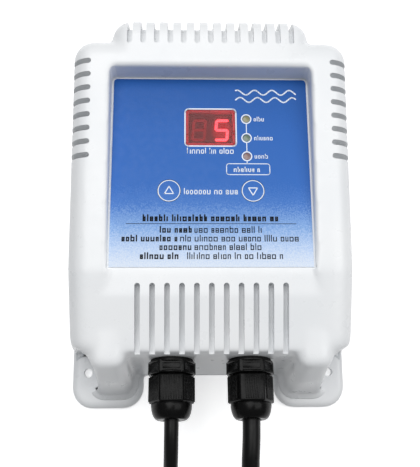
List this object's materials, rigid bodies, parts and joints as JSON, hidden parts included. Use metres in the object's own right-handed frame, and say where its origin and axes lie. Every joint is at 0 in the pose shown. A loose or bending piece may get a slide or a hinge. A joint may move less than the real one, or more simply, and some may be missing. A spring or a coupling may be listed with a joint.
{
  "type": "salt chlorine generator",
  "caption": "Wall-mounted salt chlorine generator control box with a display, membrane keys, cable glands, a mains cord with plug and a drop-in electrolytic cell on a cable.",
  "frame": {"origin": "middle of the box's flat back, where it lies against the wall", "axes": "+Z out of the wall towards the reader, +Y up the wall, away from the glands, +X to the reader's right"},
  "size_m": [0.158, 0.5115, 0.0759],
  "materials": {
    "white_shell": "slightly glossy moulded ABS",
    "seal_rubber": "soft matte rubber",
    "seal_silicone": "pale soft silicone",
    "zinc_steel": "zinc plated steel",
    "label_print": "printed polyester overlay, blue fading to near white",
    "red_window": "dark red transparent window",
    "clear_lens": "clear tinted lens",
    "switch_black": "moulded nylon",
    "display_red": "dark moulded display body",
    "segment_red": "diffusing segments, the right figure lit",
    "led_lens": "epoxy lens",
    "board_green": "solder resist on glass fibre board",
    "chip_black": "moulded epoxy and sleeve",
    "header_cream": "moulded nylon",
    "ribbon_grey": "PVC ribbon",
    "sink_aluminium": "extruded aluminium",
    "relay_blue": "moulded relay case",
    "clip_metal": "nickel plated clips and caps",
    "terminal_green": "moulded terminal block",
    "core_steel": "varnished laminations",
    "winding_tape": "yellow winding tape",
    "gland_nylon": "moulded black nylon",
    "core_wire": "PVC insulated cores",
    "cord_jacket": "black flexible jacket",
    "brass_blades": "stamped brass",
    "cell_grey": "moulded light grey plastic",
    "coated_titanium": "titanium with a dark oxide coating"
  },
  "bodies": {
    "box": {"base_plate": "white_shell", "cover_gasket": "seal_silicone", "front_cover": "white_shell", "cover_screws": "zinc_steel", "label_panel": "label_print", "display_filter": "red_window", "led_windows": "clear_lens", "tact_switches": "switch_black", "display_module": "display_red", "display_digits": "segment_red", "led_low": "led_lens", "led_normal": "led_lens", "led_high": "led_lens", "control_board": "board_green", "control_board_screws": "zinc_steel", "microcontroller": "chip_black", "ribbon_headers": "header_cream", "ribbon_cable": "ribbon_grey", "power_board": "board_green", "power_board_screws": "zinc_steel", "bridge_rectifier": "chip_black", "heat_sink": "sink_aluminium", "smoothing_capacitor": "chip_black", "relay_forward": "relay_blue", "relay_reverse": "relay_blue", "fuse_holder": "clip_metal", "fuse": "clip_metal", "mains_terminal": "terminal_green", "cell_terminal": "terminal_green", "transformer_core": "core_steel", "transformer_winding": "winding_tape", "transformer_bracket": "core_steel", "transformer_screws": "zinc_steel", "mains_gland_body": "gland_nylon", "mains_gland_gasket": "seal_rubber", "mains_gland_locknut": "gland_nylon", "mains_gland_seal": "seal_rubber", "mains_gland_cap": "gland_nylon", "cell_gland_body": "gland_nylon", "cell_gland_gasket": "seal_rubber", "cell_gland_locknut": "gland_nylon", "cell_gland_seal": "seal_rubber", "cell_gland_cap": "gland_nylon", "mains_wires": "core_wire", "cell_wires": "core_wire", "mains_cord": "cord_jacket", "mains_cord_coil": "cord_jacket", "plug_body": "cord_jacket", "plug_blades": "brass_blades", "cell_cable": "cord_jacket", "cell_cable_coil": "cord_jacket", "cell_strain_relief": "cord_jacket", "cell_head": "cell_grey", "cell_cage": "cell_grey", "cell_plates": "coated_titanium"},
    "key_up_button": {"key_up": "label_print", "plunger_up": "switch_black"},
    "key_down_button": {"key_down": "label_print", "plunger_down": "switch_black"}
  },
  "joints": [
    {"name": "key_up_press", "type": "slide", "parent": "box", "child": "key_up_button", "axis": [0, -0.0572, -0.9984], "range_m": [0, 0.0004], "stiffness_N_per_m": 1500},
    {"name": "key_down_press", "type": "slide", "parent": "box", "child": "key_down_button", "axis": [0, -0.0572, -0.9984], "range_m": [0, 0.0004], "stiffness_N_per_m": 1500}
  ]
}
